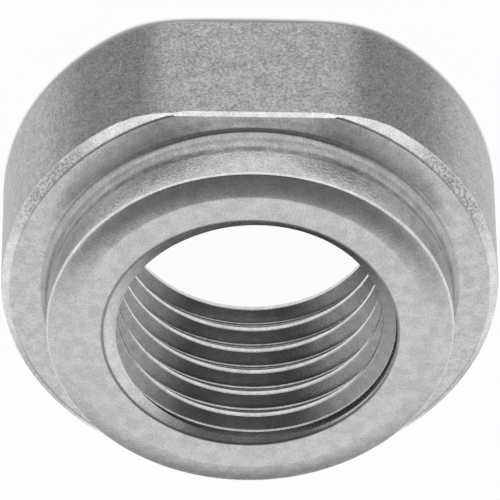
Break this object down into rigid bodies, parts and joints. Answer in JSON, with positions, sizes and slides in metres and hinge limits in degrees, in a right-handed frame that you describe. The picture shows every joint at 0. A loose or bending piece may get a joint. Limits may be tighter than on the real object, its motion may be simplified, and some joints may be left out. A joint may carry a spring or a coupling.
{
  "type": "hub nut",
  "caption": "Round zinc-plated steel hub nut with parallel wrench flats, a pilot collar with a domed nose and a countersunk threaded through-hole, for clamping a wheel axle.",
  "frame": {"origin": "centre of the back face, on the thread axis, at the bottom of the part", "axes": "+Z along the thread axis from the back face to the collar, -Y and +Y square to the wrench flats"},
  "size_m": [0.0152, 0.014, 0.0066],
  "materials": {
    "zinc_steel": "zinc-plated steel with a fine tumbled grain"
  },
  "bodies": {
    "root": {"hub_nut": "zinc_steel"}
  },
  "joints": []
}
